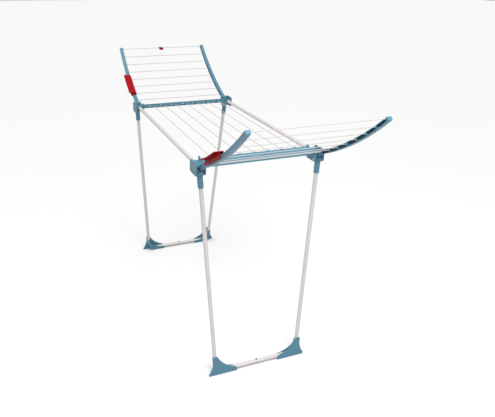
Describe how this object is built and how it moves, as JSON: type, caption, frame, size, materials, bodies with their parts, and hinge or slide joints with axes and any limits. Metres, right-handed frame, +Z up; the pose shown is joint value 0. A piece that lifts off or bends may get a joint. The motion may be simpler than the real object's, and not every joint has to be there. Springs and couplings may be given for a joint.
{
  "type": "clothes drying rack",
  "caption": "Folding clothes drying rack with long main lines, a raised curved wing at each end, and two bent-tube leg frames on moulded feet.",
  "frame": {"origin": "on the floor under the middle of the rack", "axes": "+X towards the front wing, along the main lines; +Y towards the right-hand side rail; +Z up"},
  "size_m": [1.9458, 0.615, 1.3026],
  "materials": {
    "coated_tube": "satin powder coat",
    "blue_moulding": "fine satin moulding",
    "line_coating": "smooth plastic coating on wire",
    "steel_pin": "bright zinc",
    "dark_rivet": "dark plated",
    "red_moulding": "semi-gloss moulding"
  },
  "bodies": {
    "frame": {"side_rail_left": "coated_tube", "side_rail_right": "coated_tube", "corner_bracket_front_left": "blue_moulding", "corner_bracket_front_right": "blue_moulding", "corner_bracket_rear_left": "blue_moulding", "corner_bracket_rear_right": "blue_moulding", "corner_cover_front_left": "blue_moulding", "corner_cover_front_right": "blue_moulding", "corner_cover_rear_left": "blue_moulding", "corner_cover_rear_right": "blue_moulding", "cross_rail_front": "blue_moulding", "cross_rail_rear": "blue_moulding", "leg_pivot_pins": "steel_pin", "wing_pivot_pins": "steel_pin", "main_lines": "line_coating", "main_line_crimps": "steel_pin"},
    "front_wing": {"front_wing_arm_left": "blue_moulding", "front_wing_arm_right": "blue_moulding", "front_wing_lines": "line_coating", "front_wing_crimps": "steel_pin", "front_wing_holder": "red_moulding"},
    "rear_wing": {"rear_wing_arm_left": "blue_moulding", "rear_wing_arm_right": "blue_moulding", "rear_wing_lines": "line_coating", "rear_wing_crimps": "steel_pin", "rear_wing_holder": "red_moulding"},
    "front_leg_frame": {"front_leg_tube_left": "coated_tube", "front_leg_hinge_left": "blue_moulding", "front_foot_left": "blue_moulding", "front_leg_tube_right": "coated_tube", "front_leg_hinge_right": "blue_moulding", "front_foot_right": "blue_moulding", "front_leg_rivet": "dark_rivet"},
    "rear_leg_frame": {"rear_leg_tube_left": "coated_tube", "rear_leg_hinge_left": "blue_moulding", "rear_foot_left": "blue_moulding", "rear_leg_tube_right": "coated_tube", "rear_leg_hinge_right": "blue_moulding", "rear_foot_right": "blue_moulding", "rear_leg_rivet": "dark_rivet"},
    "clip": {"rear_wing_clip": "red_moulding"}
  },
  "joints": [
    {"name": "front_wing_fold", "type": "hinge", "parent": "frame", "child": "front_wing", "pos_m": [0.549, 0, 1.03], "axis": [0, -1, 0], "range_deg": [0, 142]},
    {"name": "rear_wing_fold", "type": "hinge", "parent": "frame", "child": "rear_wing", "pos_m": [-0.549, 0, 1.03], "axis": [0, 1, 0], "range_deg": [0, 142]},
    {"name": "front_leg_fold", "type": "hinge", "parent": "frame", "child": "front_leg_frame", "pos_m": [0.54, 0, 0.992], "axis": [0, 1, 0], "range_deg": [0, 94]},
    {"name": "rear_leg_fold", "type": "hinge", "parent": "frame", "child": "rear_leg_frame", "pos_m": [-0.54, 0, 0.992], "axis": [0, -1, 0], "range_deg": [0, 91.7]},
    {"name": "clip_turn", "type": "hinge", "parent": "rear_wing", "child": "clip", "pos_m": [-0.95901, -0.011, 1.29328], "axis": [0, 1, 0], "range_deg": [-80, 80]}
  ]
}
